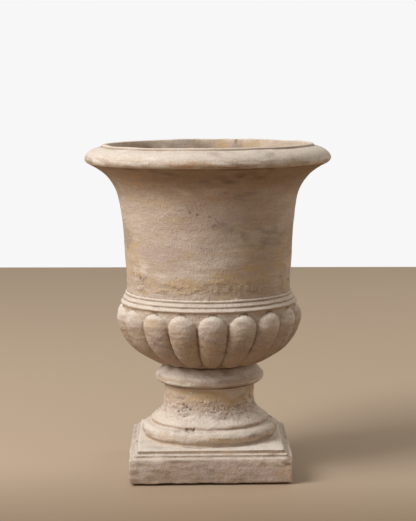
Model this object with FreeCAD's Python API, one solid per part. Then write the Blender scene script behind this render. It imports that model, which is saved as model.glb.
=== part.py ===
"""Urn planter: a flared, gadrooned bowl on a collar, a waisted foot and a stepped square plinth.

The four castings are bedded on mortar and held down one threaded drain tube, which is screwed
up from below and drains the bowl. Millimetres, +Z up, origin on the floor under the middle.
"""

import FreeCAD, Part
import math
import os

from FreeCAD import Vector

# ---- driving dimensions -------------------------------------------------------------------

# whole urn
HEIGHT = 488.0
RIM_RADIUS = 182.2
WAIST_RADIUS = 121.9  # bell, just over the fillets
WALL = 15.0
BOWL_TURN = 1.7  # the bowl sits this many degrees round from square with the plinth

# levels of the joints, floor upwards
PAD_TOP = 2.0
PLINTH_TOP = 50.0
JOINT = 1.5  # thickness of a mortar bed
FOOT_BASE = PLINTH_TOP + JOINT
FOOT_TOP = 131.3
COLLAR_BASE = FOOT_TOP + JOINT
COLLAR_TOP = 159.0
BOWL_BASE = COLLAR_TOP + JOINT

# bowl
LIP_RADIUS = 156.6
LIP_INNER_RADIUS = 149.0
LIP_STEP = 2.6
RIM_NOSE_LEVEL = 467.8
RIM_SOFFIT_LEVEL = 460.2
FILLET_LEVELS = (269.4, 262.6, 256.0)  # top of each of the three rings
FILLET_RADII = (124.2, 127.6, 131.4)
FILLET_HEIGHT = 3.6
FILLET_EASE = 0.8
BELT_TOP = 252.0
FLOOR_LEVEL = 178.5
BOWL_SEAT_RADIUS = 64.0

# gadroons
LOBES = 18
LOBE_PITCH = 360.0 / LOBES
LOBE_HALF_ANGLE = 9.5
LOBE_RELIEF_TOP = 11.8
LOBE_RELIEF_END = 6.5
LOBE_START = 0.02  # along the belt line, from its top to its foot
LOBE_DOME = 0.17
LOBE_TAIL = 0.10
LOBE_END = 0.955
LOBE_FLATS = 8  # flats across a lobe
DOME_ROWS = 4
BODY_ROWS = 5
TAIL_ROWS = 2

# collar
COLLAR_RADIUS = 80.5
COLLAR_SEAT_RADIUS = 66.0
COLLAR_NOSE_LEVEL = 141.0
COLLAR_FOOT_RADIUS = 73.0

# foot
NECK_RADIUS = 66.9
NECK_LEVEL = 106.0
NECK_TOP_RADIUS = 70.6
FLARE_RADIUS = 86.0
FLARE_LEVEL = 78.0
GROOVE_RADIUS = 86.0
GROOVE_LEVEL = 73.2
TORUS_RADIUS = 101.5
TORUS_LEVEL = 61.8

# plinth
PLINTH_WIDTH = 238.6
PLINTH_SOLE_WIDTH = 235.0
BLOCK_TOP = 39.4
LOWER_STEP_TOP = 43.8
LOWER_STEP_WIDTH = 223.0
UPPER_STEP_WIDTH = 213.2
CORNER_RADIUS = 3.0
BRIM_EASE = 1.2
POCKET_RADIUS = 24.0
POCKET_TOP = 21.0

# drain tube and its fittings
TUBE_RADIUS = 10.5
TUBE_BORE = 7.5
TUBE_BASE = 5.0
PASSAGE_RADIUS = 12.0  # clearance hole through the castings
GASKET_RADIUS = 22.0
GASKET_HEIGHT = 3.0
FLANGE_RADIUS = 23.0
FLANGE_HEIGHT = 3.0
NUT_ACROSS_FLATS = 30.0
TOP_NUT_HEIGHT = 7.0
CLAMP_NUT_HEIGHT = 10.0
WASHER_RADIUS = 21.0
WASHER_HEIGHT = 2.5

# mortar beds and pads
BED_INNER_RADIUS = 30.0
BED_INSET = 2.5
PLINTH_BED_RADIUS = 90.0
PAD_RADIUS = 14.0
PAD_REACH = 92.0

ARC_SAG = 0.8  # how far a turned arc may fall short of round where it is cut in cones
AXIS = Vector(0, 0, 1)
ORIGIN = Vector(0, 0, 0)


# ---- outline helpers ----------------------------------------------------------------------


def at(radius, level):
    """A point of a turned outline."""
    return Vector(radius, 0, level)


def arc_points(start, through, end):
    """Points along an arc, no further apart than the sag allows."""
    arc = Part.ArcOfCircle(start, through, end)
    sweep = arc.LastParameter - arc.FirstParameter
    runs = math.ceil(sweep / (2 * math.acos(1 - ARC_SAG / arc.Radius)))
    return [arc.value(arc.FirstParameter + sweep * step / runs) for step in range(1, runs + 1)]


def outline(start, *moves):
    """A closed wire: each move is one point for a straight run, or two for an arc through them."""
    points = [at(*start)]
    for move in moves:
        if isinstance(move[0], tuple):
            through, end = move
            points.extend(arc_points(points[-1], at(*through), at(*end)))
        else:
            points.append(at(*move))
    return Part.makePolygon([*points, points[0]])


def turned(wire):
    """The solid that an outline sweeps in one turn about the urn's axis."""
    return Part.Face(wire).revolve(ORIGIN, AXIS, 360)


def ring(outer, inner, base, height):
    """A flat ring about the axis."""
    blank = Part.makeCylinder(outer, height, at(0, base))
    return blank.cut(Part.makeCylinder(inner, height, at(0, base)))


def hexagon(across_flats, base, height):
    """A hexagonal prism about the axis."""
    reach = across_flats / 2 / math.cos(math.radians(30))
    corners = []
    for side in range(7):
        angle = math.radians(60 * side)
        corners.append(Vector(reach * math.cos(angle), reach * math.sin(angle), base))
    return Part.Face(Part.makePolygon(corners)).extrude(Vector(0, 0, height))


def rounded_square(width, level, corner):
    """A level square outline with round corners."""
    core = width / 2 - corner
    square = Part.makePlane(2 * core, 2 * core, Vector(-core, -core, level))
    return square.makeOffset2D(corner).OuterWire


def rounded_slab(width, base, top, sole_width=None):
    """A square slab with round corners and an eased brim, drawn in at its sole if that differs."""
    return Part.makeLoft(
        [
            rounded_square(sole_width or width, base, CORNER_RADIUS),
            rounded_square(width, top - BRIM_EASE, CORNER_RADIUS),
            rounded_square(width - 2 * BRIM_EASE, top, CORNER_RADIUS - BRIM_EASE),
        ],
        True,
        True,
    )


# ---- bowl ---------------------------------------------------------------------------------


def bell():
    """The upper bowl as a full round: lip, ovolo rim, cavetto, bell wall and three fillets."""
    moves = [
        (LIP_RADIUS - 1.4, HEIGHT),
        ((LIP_RADIUS - 0.4, HEIGHT - 0.4), (LIP_RADIUS, HEIGHT - 1.4)),
        (LIP_RADIUS, HEIGHT - LIP_STEP),
        (LIP_RADIUS + 1.9, HEIGHT - LIP_STEP - 0.4),
        ((172.9, 479.4), (RIM_RADIUS, RIM_NOSE_LEVEL)),
        ((181.0, 463.4), (177.2, RIM_SOFFIT_LEVEL)),
        ((157.9, 448.4), (141.6, 430.5)),
        ((132.4, 406.7), (126.9, 370.9)),
        ((124.2, 322.0), (WAIST_RADIUS, FILLET_LEVELS[0])),
    ]
    for radius, level in zip(FILLET_RADII, FILLET_LEVELS):
        moves.append((radius - FILLET_EASE, level))
        moves.append((radius, level - FILLET_EASE))
        moves.append((radius, level - FILLET_HEIGHT))
        moves.append((radius - FILLET_EASE, level - FILLET_HEIGHT))
    moves.append((FILLET_RADII[-1] - FILLET_EASE, BELT_TOP))
    moves.append((0, BELT_TOP))
    return turned(outline((0, HEIGHT), *moves))


def belt_line():
    """The line of the valleys between the lobes, from the fillets down to the bowl's seat."""
    stations = [
        (129.4, BELT_TOP),
        (128.8, 239.0),
        (126.6, 224.0),
        (119.0, 206.0),
        (106.5, 190.0),
        (88.0, 176.0),
        (BOWL_SEAT_RADIUS, BOWL_BASE + 3.5),
    ]
    line = Part.BSplineCurve()
    line.interpolate([at(radius, level) for radius, level in stations])
    return line


def lobe_rows():
    """Places along the belt line of the rows of one lobe, closer together over its round ends."""
    rows = []
    for step in range(DOME_ROWS + 1):
        rows.append(LOBE_START + LOBE_DOME * (1 - math.cos(math.pi / 2 * step / DOME_ROWS)))
    body = LOBE_END - LOBE_TAIL - LOBE_START - LOBE_DOME
    for step in range(1, BODY_ROWS):
        rows.append(LOBE_START + LOBE_DOME + body * step / BODY_ROWS)
    for step in range(TAIL_ROWS + 1):
        rows.append(LOBE_END - LOBE_TAIL * (1 - math.sin(math.pi / 2 * step / TAIL_ROWS)))
    return rows


def roundness(along):
    """1 over the body of a lobe, falling to 0 as a quarter circle at its dome and at its tail."""
    dome = min(1.0, max(0.0, (along - LOBE_START) / LOBE_DOME))
    tail = min(1.0, max(0.0, (LOBE_END - along) / LOBE_TAIL))
    return math.sqrt(1 - (1 - dome) ** 2) * math.sqrt(1 - (1 - tail) ** 2)


def belt_row(line, along):
    """One level of one pitch of the belt: valley, the lobe's half ellipse, valley."""
    place = line.FirstParameter + (line.LastParameter - line.FirstParameter) * along
    root = line.value(place)
    tangent = line.tangent(place)[0]
    outward = Vector(-tangent.z, 0, tangent.x)
    full = roundness(along)
    relief = (LOBE_RELIEF_TOP + (LOBE_RELIEF_END - LOBE_RELIEF_TOP) * along) * full
    crossing = [(-LOBE_PITCH / 2, 0.0)]
    for step in range(LOBE_FLATS + 1):
        turn = math.pi * (step / LOBE_FLATS - 0.5)
        crossing.append((LOBE_HALF_ANGLE * full * math.sin(turn), relief * math.cos(turn)))
    crossing.append((LOBE_PITCH / 2, 0.0))
    row = []
    for degrees, height in crossing:
        point = root + outward * height
        angle = math.radians(degrees)
        row.append(Vector(point.x * math.cos(angle), point.x * math.sin(angle), point.z))
    return row


def flats_between(upper, lower):
    """Flat three-sided faces between two rows, leaving out those with no area."""
    faces = []
    for left in range(len(upper) - 1):
        right = left + 1
        for corners in (
            (upper[left], lower[left], lower[right]),
            (upper[left], lower[right], upper[right]),
        ):
            sides = [corners[i].distanceToPoint(corners[i - 1]) for i in range(3)]
            if min(sides) > 0.001:
                faces.append(Part.Face(Part.makePolygon([*corners, corners[0]])))
    return faces


def gadroon_belt():
    """The lower bowl as a full round, cut in flats: eighteen lobes with round heads and tails."""
    line = belt_line()
    rows = [belt_row(line, along) for along in (0.0, *lobe_rows(), 1.0)]
    seat = [Vector(point.x, point.y, BOWL_BASE) for point in rows[-1]]
    rows.append(seat)
    faces = []
    top_corners = []
    seat_corners = []
    for lobe in range(LOBES):
        turn = FreeCAD.Rotation(AXIS, LOBE_PITCH * lobe - 90 + BOWL_TURN)
        turned_rows = [[turn.multVec(point) for point in row] for row in rows]
        for upper, lower in zip(turned_rows, turned_rows[1:]):
            faces.extend(flats_between(upper, lower))
        top_corners.extend(turned_rows[0][:-1])
        seat_corners.extend(turned_rows[-1][:-1])
    for corners in (top_corners, seat_corners):
        kept = [corners[0]]
        for point in corners[1:]:
            if point.distanceToPoint(kept[-1]) > 0.001:
                kept.append(point)
        faces.append(Part.Face(Part.makePolygon([*kept, kept[0]])))
    shell = Part.makeShell(faces)
    shell.sewShape()
    solid = Part.makeSolid(shell)
    if solid.Volume < 0:
        solid.reverse()
    return solid


def planting_hollow():
    """The space inside the bowl, from its dished floor to the lip."""
    return turned(
        outline(
            (0, HEIGHT + 5),
            (LIP_INNER_RADIUS + 1.0, HEIGHT + 5),
            (LIP_INNER_RADIUS + 1.0, HEIGHT),
            (LIP_INNER_RADIUS - 0.6, HEIGHT - 1.6),
            ((142.4, 459.0), (128.5, 433.0)),
            ((117.6, 404.0), (126.9 - WALL, 371.0)),
            (WAIST_RADIUS - WALL, 285.0),
            (109.5, 252.0),
            ((102.0, 206.0), (74.0, 184.5)),
            (28.0, FLOOR_LEVEL),
            (0, FLOOR_LEVEL),
        )
    )


def bowl():
    """The bowl casting."""
    blank = bell().fuse(gadroon_belt())
    passage = Part.makeCylinder(PASSAGE_RADIUS, HEIGHT, ORIGIN)
    return blank.cut(planting_hollow()).cut(passage)


# ---- castings under the bowl --------------------------------------------------------------


def collar_ring():
    """The knop under the bowl: a sloping shoulder, a round nose and an undercut seat."""
    return turned(
        outline(
            (PASSAGE_RADIUS, COLLAR_TOP),
            (COLLAR_SEAT_RADIUS, COLLAR_TOP),
            ((72.6, 152.8), (78.6, 147.4)),
            ((COLLAR_RADIUS, COLLAR_NOSE_LEVEL), (78.2, 135.6)),
            (76.4, 133.8),
            (COLLAR_FOOT_RADIUS, COLLAR_BASE),
            (PASSAGE_RADIUS, COLLAR_BASE),
        )
    )


def foot():
    """The waisted neck, its flare, the groove and the torus that stands on the plinth."""
    return turned(
        outline(
            (PASSAGE_RADIUS, FOOT_TOP),
            (NECK_TOP_RADIUS, FOOT_TOP),
            (NECK_RADIUS + 1.0, FOOT_TOP - 4.2),
            ((NECK_RADIUS + 0.2, 116.0), (NECK_RADIUS, NECK_LEVEL)),
            ((70.8, 93.0), (79.6, 84.4)),
            ((84.6, 80.9), (FLARE_RADIUS + 1.8, FLARE_LEVEL - 1.5)),
            (GROOVE_RADIUS, GROOVE_LEVEL),
            (GROOVE_RADIUS + 4.6, GROOVE_LEVEL - 0.9),
            ((TORUS_RADIUS, TORUS_LEVEL), (GROOVE_RADIUS + 5.0, FOOT_BASE)),
            (PASSAGE_RADIUS, FOOT_BASE),
        )
    )


def plinth():
    """The stepped square slab, with a passage for the tube and a pocket under it for the nut."""
    slab = rounded_slab(PLINTH_WIDTH, PAD_TOP, BLOCK_TOP, PLINTH_SOLE_WIDTH)
    slab = slab.fuse(rounded_slab(LOWER_STEP_WIDTH, BLOCK_TOP - 5, LOWER_STEP_TOP))
    slab = slab.fuse(rounded_slab(UPPER_STEP_WIDTH, BLOCK_TOP - 5, PLINTH_TOP))
    slab = slab.cut(Part.makeCylinder(PASSAGE_RADIUS, PLINTH_TOP, ORIGIN))
    return slab.cut(Part.makeCylinder(POCKET_RADIUS, POCKET_TOP, ORIGIN))


# ---- beds, pads and the drain tube --------------------------------------------------------


def foot_pads():
    """Four low round pads, one in from each corner of the plinth."""
    pads = []
    for across in (-PAD_REACH, PAD_REACH):
        for along in (-PAD_REACH, PAD_REACH):
            pads.append(Part.makeCylinder(PAD_RADIUS, PAD_TOP, Vector(across, along, 0)))
    return Part.makeCompound(pads)


def drain_tube():
    """The hollow tie: it holds the stack together and lets the water out."""
    top = FLOOR_LEVEL + GASKET_HEIGHT + FLANGE_HEIGHT + TOP_NUT_HEIGHT + 1.5
    return ring(TUBE_RADIUS, TUBE_BORE, TUBE_BASE, top - TUBE_BASE)


def drain_gasket():
    """The rubber ring between the bowl's floor and the flange."""
    return ring(GASKET_RADIUS, TUBE_RADIUS, FLOOR_LEVEL, GASKET_HEIGHT)


def drain_flange_nut():
    """The flanged nut on the bowl's floor."""
    base = FLOOR_LEVEL + GASKET_HEIGHT
    flange = Part.makeCylinder(FLANGE_RADIUS, FLANGE_HEIGHT, at(0, base))
    nut = flange.fuse(hexagon(NUT_ACROSS_FLATS, base, FLANGE_HEIGHT + TOP_NUT_HEIGHT))
    return nut.cut(Part.makeCylinder(TUBE_RADIUS, FLANGE_HEIGHT + TOP_NUT_HEIGHT, at(0, base)))


def clamp_washer():
    """The washer in the plinth's pocket."""
    return ring(WASHER_RADIUS, TUBE_RADIUS, POCKET_TOP - WASHER_HEIGHT, WASHER_HEIGHT)


def clamp_nut():
    """The nut that draws the stack together, inside the pocket."""
    base = POCKET_TOP - WASHER_HEIGHT - CLAMP_NUT_HEIGHT
    nut = hexagon(NUT_ACROSS_FLATS, base, CLAMP_NUT_HEIGHT)
    return nut.cut(Part.makeCylinder(TUBE_RADIUS, CLAMP_NUT_HEIGHT, at(0, base)))


PIECES = {
    "bowl": bowl,
    "collar_ring": collar_ring,
    "foot": foot,
    "plinth": plinth,
    "mortar_bed_bowl": lambda: ring(
        BOWL_SEAT_RADIUS - BED_INSET, BED_INNER_RADIUS, COLLAR_TOP, JOINT
    ),
    "mortar_bed_collar": lambda: ring(
        NECK_TOP_RADIUS - BED_INSET, BED_INNER_RADIUS, FOOT_TOP, JOINT
    ),
    "mortar_bed_plinth": lambda: ring(
        PLINTH_BED_RADIUS, BED_INNER_RADIUS, PLINTH_TOP, JOINT
    ),
    "drain_tube": drain_tube,
    "drain_gasket": drain_gasket,
    "drain_flange_nut": drain_flange_nut,
    "clamp_washer": clamp_washer,
    "clamp_nut": clamp_nut,
    "foot_pads": foot_pads,
}


def main():
    """Build every piece and write one STEP file for each."""
    os.makedirs("parts", exist_ok=True)
    for name, build in PIECES.items():
        shape = build()
        shape.exportStep(f"parts/{name}.step")
        print(f"{name:18s} valid {shape.isValid()} volume {shape.Volume / 1000:9.1f} cm3")


main()
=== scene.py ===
"""Looks of the urn planter: four lime-washed castings, their dirty joints and the drain fittings.

Every casting is a closed grid of points: an outline in radius and height, carried round the urn's
axis. The gadroons, the plinth's square plan, the unevenness of the hand-made clay, the pits and the
crumbs are all formulas over that grid. Lengths are in millimetres until a mesh is written in metres.
"""

import logging
import math
from dataclasses import dataclass, field, replace
from enum import Enum

import bpy
import numpy as np
from mathutils import Matrix, Vector


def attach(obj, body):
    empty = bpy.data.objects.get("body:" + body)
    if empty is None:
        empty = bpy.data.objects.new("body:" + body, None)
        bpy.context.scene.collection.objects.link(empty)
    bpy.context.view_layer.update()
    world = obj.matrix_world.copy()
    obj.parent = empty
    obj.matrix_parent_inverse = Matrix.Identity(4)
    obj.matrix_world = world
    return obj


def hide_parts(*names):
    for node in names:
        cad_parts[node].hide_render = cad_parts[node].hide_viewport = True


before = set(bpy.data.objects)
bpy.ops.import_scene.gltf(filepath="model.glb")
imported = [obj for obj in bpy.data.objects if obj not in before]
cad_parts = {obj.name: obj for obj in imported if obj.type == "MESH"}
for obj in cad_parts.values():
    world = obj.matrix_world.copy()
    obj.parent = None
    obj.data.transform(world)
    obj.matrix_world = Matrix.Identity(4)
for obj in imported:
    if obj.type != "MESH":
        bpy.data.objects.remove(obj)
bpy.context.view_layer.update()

LOG = logging.getLogger("urn")
MM = 0.001
Array = np.ndarray
Material = bpy.types.Material
Object = bpy.types.Object
Socket = bpy.types.NodeSocket


# ---- shader maths ----


class Value:
    """A float socket whose arithmetic adds Math nodes to its tree."""

    def __init__(self, tree: "Tree", socket: Socket) -> None:
        """Wrap an output socket of that tree, one that carries a number."""
        self.tree = tree
        self.socket = socket

    def _math(self, operation: str, *operands: "Value | float", clamp: bool = False) -> "Value":
        """Add one Math node over the operands and return its output.

        Args:
            operation: what the node works out.
            operands: numbers or values, in the order of its sockets.
            clamp: whether the result is held between 0 and 1.

        Returns:
            The output.
        """
        settings = {"operation": operation, "use_clamp": clamp}
        made = self.tree.node("ShaderNodeMath", settings, dict(enumerate(operands)))
        return Value(self.tree, made.outputs[0])

    def __add__(self, other: "Value | float") -> "Value":
        """Sum."""
        return self._math("ADD", self, other)

    __radd__ = __add__

    def __sub__(self, other: "Value | float") -> "Value":
        """Difference."""
        return self._math("SUBTRACT", self, other)

    def __rsub__(self, other: "Value | float") -> "Value":
        """Difference with this value on the right."""
        return self._math("SUBTRACT", other, self)

    def __mul__(self, other: "Value | float") -> "Value":
        """Product."""
        return self._math("MULTIPLY", self, other)

    __rmul__ = __mul__

    def clamped(self) -> "Value":
        """This value held between 0 and 1."""
        return self._math("ADD", self, 0.0, clamp=True)

    def step(self, low: float, high: float) -> "Value":
        """A soft step: 0 at and below low, 1 at and above high, smooth between.

        Args:
            low: where the step starts.
            high: where the step ends.

        Returns:
            The stepped value.
        """
        settings = {"interpolation_type": "SMOOTHSTEP"}
        made = self.tree.node("ShaderNodeMapRange", settings, {0: self, 1: low, 2: high})
        return Value(self.tree, made.outputs[0])


class Tree:
    """The node tree of one material, with one method that adds any node."""

    def __init__(self, name: str) -> None:
        """Make an empty material with that name.

        Args:
            name: the material's name.
        """
        self.material = bpy.data.materials.new(name)
        self.material.use_nodes = True
        self.nodes = self.material.node_tree.nodes
        self.nodes.clear()
        self.place = self.node("ShaderNodeTexCoord").outputs["Object"]

    def node(self, kind: str, settings: dict | None = None,
             inputs: dict | None = None) -> bpy.types.Node:
        """Add a node of any type.

        Args:
            kind: the node's type.
            settings: its properties, set first.
            inputs: socket name or number to a value, a socket or a Value.

        Returns:
            The new node.
        """
        made = self.nodes.new(kind)
        for key, setting in (settings or {}).items():
            setattr(made, key, setting)
        for key, given in (inputs or {}).items():
            if isinstance(given, Value):
                given = given.socket
            if isinstance(given, Socket):
                self.material.node_tree.links.new(given, made.inputs[key])
            else:
                made.inputs[key].default_value = given
        return made

    def stretched(self, across: float, up: float) -> Socket:
        """The place on the object, with x and y scaled by the first number and z by the second."""
        inputs = {"Vector": self.place, "Scale": (across, across, up)}
        return self.node("ShaderNodeMapping", None, inputs).outputs["Vector"]

    def noise(self, scale: float, detail: float = 4.0, rough: float = 0.55, shift: float = 0.0,
              place: Socket | None = None) -> Value:
        """Cloudy noise, about 0.3 to 0.7.

        Args:
            scale: patches a metre.
            detail: octaves.
            rough: weight of the finer octaves.
            shift: moves the pattern, so that two of one scale differ.
            place: the coordinates, or None for the place on the object.

        Returns:
            The noise.
        """
        where = place or self.place
        if shift:
            inputs = {0: where, 1: (shift, shift * 1.7, shift * 2.3)}
            where = self.node("ShaderNodeVectorMath", {"operation": "ADD"}, inputs).outputs[0]
        inputs = {"Vector": where, "Scale": scale, "Detail": detail, "Roughness": rough}
        return Value(self, self.node("ShaderNodeTexNoise", None, inputs).outputs[0])

    def cells(self, scale: float) -> Value:
        """Distance to the nearest of many scattered points, so many a metre: 0 to about 0.7."""
        inputs = {"Vector": self.place, "Scale": scale}
        return Value(self, self.node("ShaderNodeTexVoronoi", None, inputs).outputs["Distance"])

    def attribute(self, name: str) -> Value:
        """A number stored on the mesh's points."""
        made = self.node("ShaderNodeAttribute", {"attribute_name": name})
        return Value(self, made.outputs["Fac"])

    def mix(self, share: Value | float, under: object, over: object, blend: str = "MIX") -> Socket:
        """Lay one colour over another.

        Args:
            share: how much of the upper colour shows.
            under: the lower colour, a socket or four numbers.
            over: the upper colour, a socket or four numbers.
            blend: the Mix node's blend type.

        Returns:
            The mixed colour.
        """
        settings = {"data_type": "RGBA", "blend_type": blend}
        made = self.node("ShaderNodeMix", settings, {"Factor": share, "A": under, "B": over})
        return made.outputs["Result"]

    def finish(self, shader: dict, bumps: list[tuple[Value, float]], relief: float) -> Material:
        """Close the tree with one Principled shader.

        Args:
            shader: inputs of the shader.
            bumps: heights with their shares, added up for the surface relief.
            relief: depth of the relief in metres.

        Returns:
            The material.
        """
        height = sum((value * share for value, share in bumps[1:]), bumps[0][0] * bumps[0][1])
        inputs = {"Strength": 1.0, "Distance": relief, "Height": height}
        normal = self.node("ShaderNodeBump", None, inputs).outputs["Normal"]
        made = self.node("ShaderNodeBsdfPrincipled", None, {**shader, "Normal": normal})
        self.node("ShaderNodeOutputMaterial", None, {"Surface": made.outputs[0]})
        return self.material


def tint(red: int, green: int, blue: int) -> tuple[float, float, float, float]:
    """A colour given as a painter reads it from a screen, 0 to 255, made linear.

    Args:
        red: the red channel, 0 to 255.
        green: the green channel.
        blue: the blue channel.

    Returns:
        The linear colour, with full alpha.
    """
    parts = [channel / 255 for channel in (red, green, blue)]
    linear = [p / 12.92 if p <= 0.04045 else ((p + 0.055) / 1.055) ** 2.4 for p in parts]
    return (*linear, 1.0)


# ---- finishes ----


class StainOrShading(Enum):
    """The patches that lie on the castings, from the lowest to the topmost; some lime, bone and soil bands
    and patches are painted light and painted shade.

    Each has the name of the attribute that places it, which is also the name of its tint, and its
    cover, which is how much of the wash under it a full patch hides. Crust has no tint of its own.
    """

    LIME = ("lime", 0.85)
    BONE = ("bone", 0.8)
    LILAC = ("lilac", 0.8)
    OCHRE = ("ochre", 0.8)
    RUST = ("rust", 0.75)
    GREY = ("grey", 0.42)
    SOIL = ("soil", 0.6)
    CRUST = ("crust", 0.0)

    def __init__(self, label: str, cover: float) -> None:
        """Keep the attribute's name and the cover."""
        self.label = label
        self.cover = cover


@dataclass(frozen=True)
class Limewash:
    """Weathered terracotta under a worn lime wash, stained by soil and rain, with painted shade on
    undersides and in hollows and painted light on tops and edges.

    Each share says how much of the colour under it a layer hides where it is full.
    """

    name: str
    clay: tuple = tint(184, 159, 135)
    wash: tuple = tint(213, 196, 180)
    ochre: tuple = tint(200, 171, 132)
    rust: tuple = tint(190, 148, 112)
    lilac: tuple = tint(190, 169, 158)
    bone: tuple = tint(221, 204, 188)
    grey: tuple = tint(134, 121, 106)
    lime: tuple = tint(231, 219, 205)
    soil: tuple = tint(112, 83, 57)
    # Painted shade on undersides: its tone here, its share a few lines below.
    underside_shade_tone: tuple = tint(144, 112, 80)
    warmth: float = 0.55
    mauve: float = 0.6
    underside_shade_share: float = 0.62
    # How much lime, which is also painted top light, covers surfaces facing up.
    lime_and_top_light_share: float = 0.72
    crust_share: float = 0.7
    # How much worn lime and painted highlight the edges get.
    edge_lime_and_highlight_share: float = 0.7
    # How much soil and painted shade the hollows get.
    dirt_and_shade_share: float = 0.85
    speck_share: float = 0.4
    hole_share: float = 0.7
    lump_share: float = 0.6
    pit_share: float = 0.5
    streaking: float = 7.0
    relief: float = 0.0014
    seed: float = 0.0

    def build(self) -> Material:
        """Build the finish."""
        return Coat(self).build()


class Coat:
    """The coat of one lime-washed casting as it is laid on: its noises and its colour so far."""

    def __init__(self, finish: Limewash) -> None:
        """Make the noises that the colour and the relief share.

        Args:
            finish: the tints, shares and seed of the coat.
        """
        self.finish = finish
        self.tree = tree = Tree(finish.name)
        self.colour = finish.clay
        streaks = tree.stretched(1.0, finish.streaking)
        self.strokes = tree.noise(10.0, 6.0, 0.62, finish.seed + 1.1, streaks)
        self.fine = tree.noise(52.0, 4.0, 0.6, finish.seed + 3.1, streaks)
        self.clouds = tree.noise(9.0, 3.0, 0.5, finish.seed + 0.3)
        self.mottle = tree.noise(80.0, 6.0, 0.62, finish.seed + 2.7)
        self.grain = tree.noise(560.0, 3.0, 0.6)
        self.sand = tree.noise(300.0, 4.0, 0.7, 5.5)
        self.pebbles = tree.noise(330.0, 3.0, 0.7, 2.2)
        self.lumps = tree.noise(120.0, 5.0, 0.65)
        self.crust = tree.attribute("crust") * (self.mottle * 2.4 - 0.5)
        gaps = (tree.cells(230.0) + self.pebbles * 0.35).step(0.2, 0.42)
        self.holes = self.crust.step(0.25, 1.0) * (1.0 - gaps)

    def build(self) -> Material:
        """Lay the coat from the clay outwards and close its material.

        Returns:
            The material.
        """
        self.lay_wash()
        self.lay_stains()
        self.lay_weather()
        self.lay_grain()
        shader = {
            "Base Color": self.colour,
            "Roughness": (self.mottle * 0.3 + 0.72).clamped(),
            "Specular IOR Level": 0.25,
        }
        pores = self.tree.cells(420.0).step(0.0, 0.35)
        bumps = [
            (self.mottle, 0.6), (self.grain, 0.5), (self.sand, 1.0), (pores, 0.3), (self.fine, 0.15),
            (self.crust * self.lumps, 0.8), (self.crust * self.pebbles, 2.0), (self.holes, -1.4),
        ]
        return self.tree.finish(shader, bumps, self.finish.relief)

    def lay(self, mask: Value, share: float, tone: tuple) -> None:
        """Lay a tint over the colour, hiding that share of it where the mask is full."""
        self.colour = self.tree.mix(mask * share, self.colour, tone)

    def lay_wash(self) -> None:
        """Lay the wash, warmer and cooler in streaks, with painted shade in a brown tone on undersides and
        lime with painted top light on tops.
        """
        finish, tree = self.finish, self.tree
        body = self.strokes * 1.1 + self.fine * 0.3 + self.clouds * 0.6 + self.mottle * 0.3 - 0.65
        self.lay(body.step(0.15, 0.85), 1.0, finish.wash)
        warm = tree.noise(14.0, 4.0, 0.55, finish.seed + 6.4, tree.stretched(1.0, 3.0))
        self.lay(warm.step(0.52, 0.72), finish.warmth, finish.ochre)
        cool = tree.noise(17.0, 5.0, 0.6, finish.seed + 8.9, tree.stretched(1.0, 3.4))
        self.lay(cool.step(0.5, 0.7), finish.mauve, finish.lilac)
        # Painted shade: surfaces that face down get a dark brown tone.
        under = tree.attribute("under") + self.mottle * 0.4 + self.strokes * 0.3 - 0.35
        self.lay(under.step(0.1, 0.75), finish.underside_shade_share, finish.underside_shade_tone)
        # Lime and painted top light: surfaces that face up are made whiter.
        up = tree.attribute("up") + self.mottle * 0.3 + self.fine * 0.3 - 0.35
        self.lay(up.step(0.12, 0.8), finish.lime_and_top_light_share, finish.lime)

    def lay_stains(self) -> None:
        """Lay the stains that have a tint, among them the painted light and shade of some bands and
        patches, each torn by the strokes.
        """
        torn = self.strokes * 1.6 + self.mottle * 0.8 + self.fine * 0.6 - 0.5
        for kind in (kind for kind in StainOrShading if kind.cover):
            mask = self.tree.attribute(kind.label) * torn
            self.lay(mask.step(0.1, 1.1), kind.cover, getattr(self.finish, kind.label))

    def lay_weather(self) -> None:
        """Lay crust, lime and a painted highlight on the edges, soil and painted shade in the hollows,
        specks, holes, crumbs and pits.
        """
        finish, tree = self.finish, self.tree
        self.lay(self.crust.step(0.35, 0.9) * self.lumps.step(0.45, 0.6), finish.crust_share, finish.lilac)
        # Worn lime and painted highlight: convex edges are made whiter.
        edge_lime_and_highlight = tree.attribute("edge") + self.mottle * 0.9 - 0.5
        self.lay(edge_lime_and_highlight.step(0.1, 0.6), finish.edge_lime_and_highlight_share, finish.lime)
        # Soil and painted shade: hollows, creases and the valleys between lobes are made darker.
        soil_and_shade = tree.attribute("hollow") + self.mottle * 0.7 - 0.42
        self.lay(soil_and_shade.step(0.05, 0.8), finish.dirt_and_shade_share, finish.soil)
        rare = tree.noise(130.0, 2.0, 0.5, 4.0).step(0.52, 0.66)
        self.lay((1.0 - tree.cells(310.0).step(0.05, 0.16)) * rare, finish.speck_share, finish.soil)
        self.lay(self.holes, finish.hole_share, finish.soil)
        self.lay(tree.attribute("lump").step(0.1, 0.8), finish.lump_share, finish.bone)
        self.lay(tree.attribute("pit").step(0.35, 1.0), finish.pit_share, finish.soil)

    def lay_grain(self) -> None:
        """Make the colour lighter and darker from grain to grain."""
        light = (self.pebbles - 0.5) * self.crust.clamped() * 0.8 + self.grain.step(0.25, 0.75) * 0.14
        light = light + self.sand * 0.5 + self.fine.step(0.3, 0.7) * 0.05 + 0.64
        grey = self.tree.node("ShaderNodeCombineColor", None, {0: light, 1: light, 2: light}).outputs[0]
        self.colour = self.tree.mix(1.0, self.colour, grey, "MULTIPLY")


@dataclass(frozen=True)
class Mortar:
    """Gritty joint mortar, dark with soil."""

    name: str = "joint_mortar"

    def build(self) -> Material:
        """Build the finish.

        Returns:
            The material.
        """
        tree = Tree(self.name)
        grit = tree.noise(240.0, 5.0, 0.6)
        colour = tree.mix(grit.step(0.35, 0.65), tint(92, 70, 50), tint(150, 126, 100))
        shader = {"Base Color": colour, "Roughness": 0.95, "Specular IOR Level": 0.2}
        return tree.finish(shader, [(grit, 1.0)], 0.001)


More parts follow.
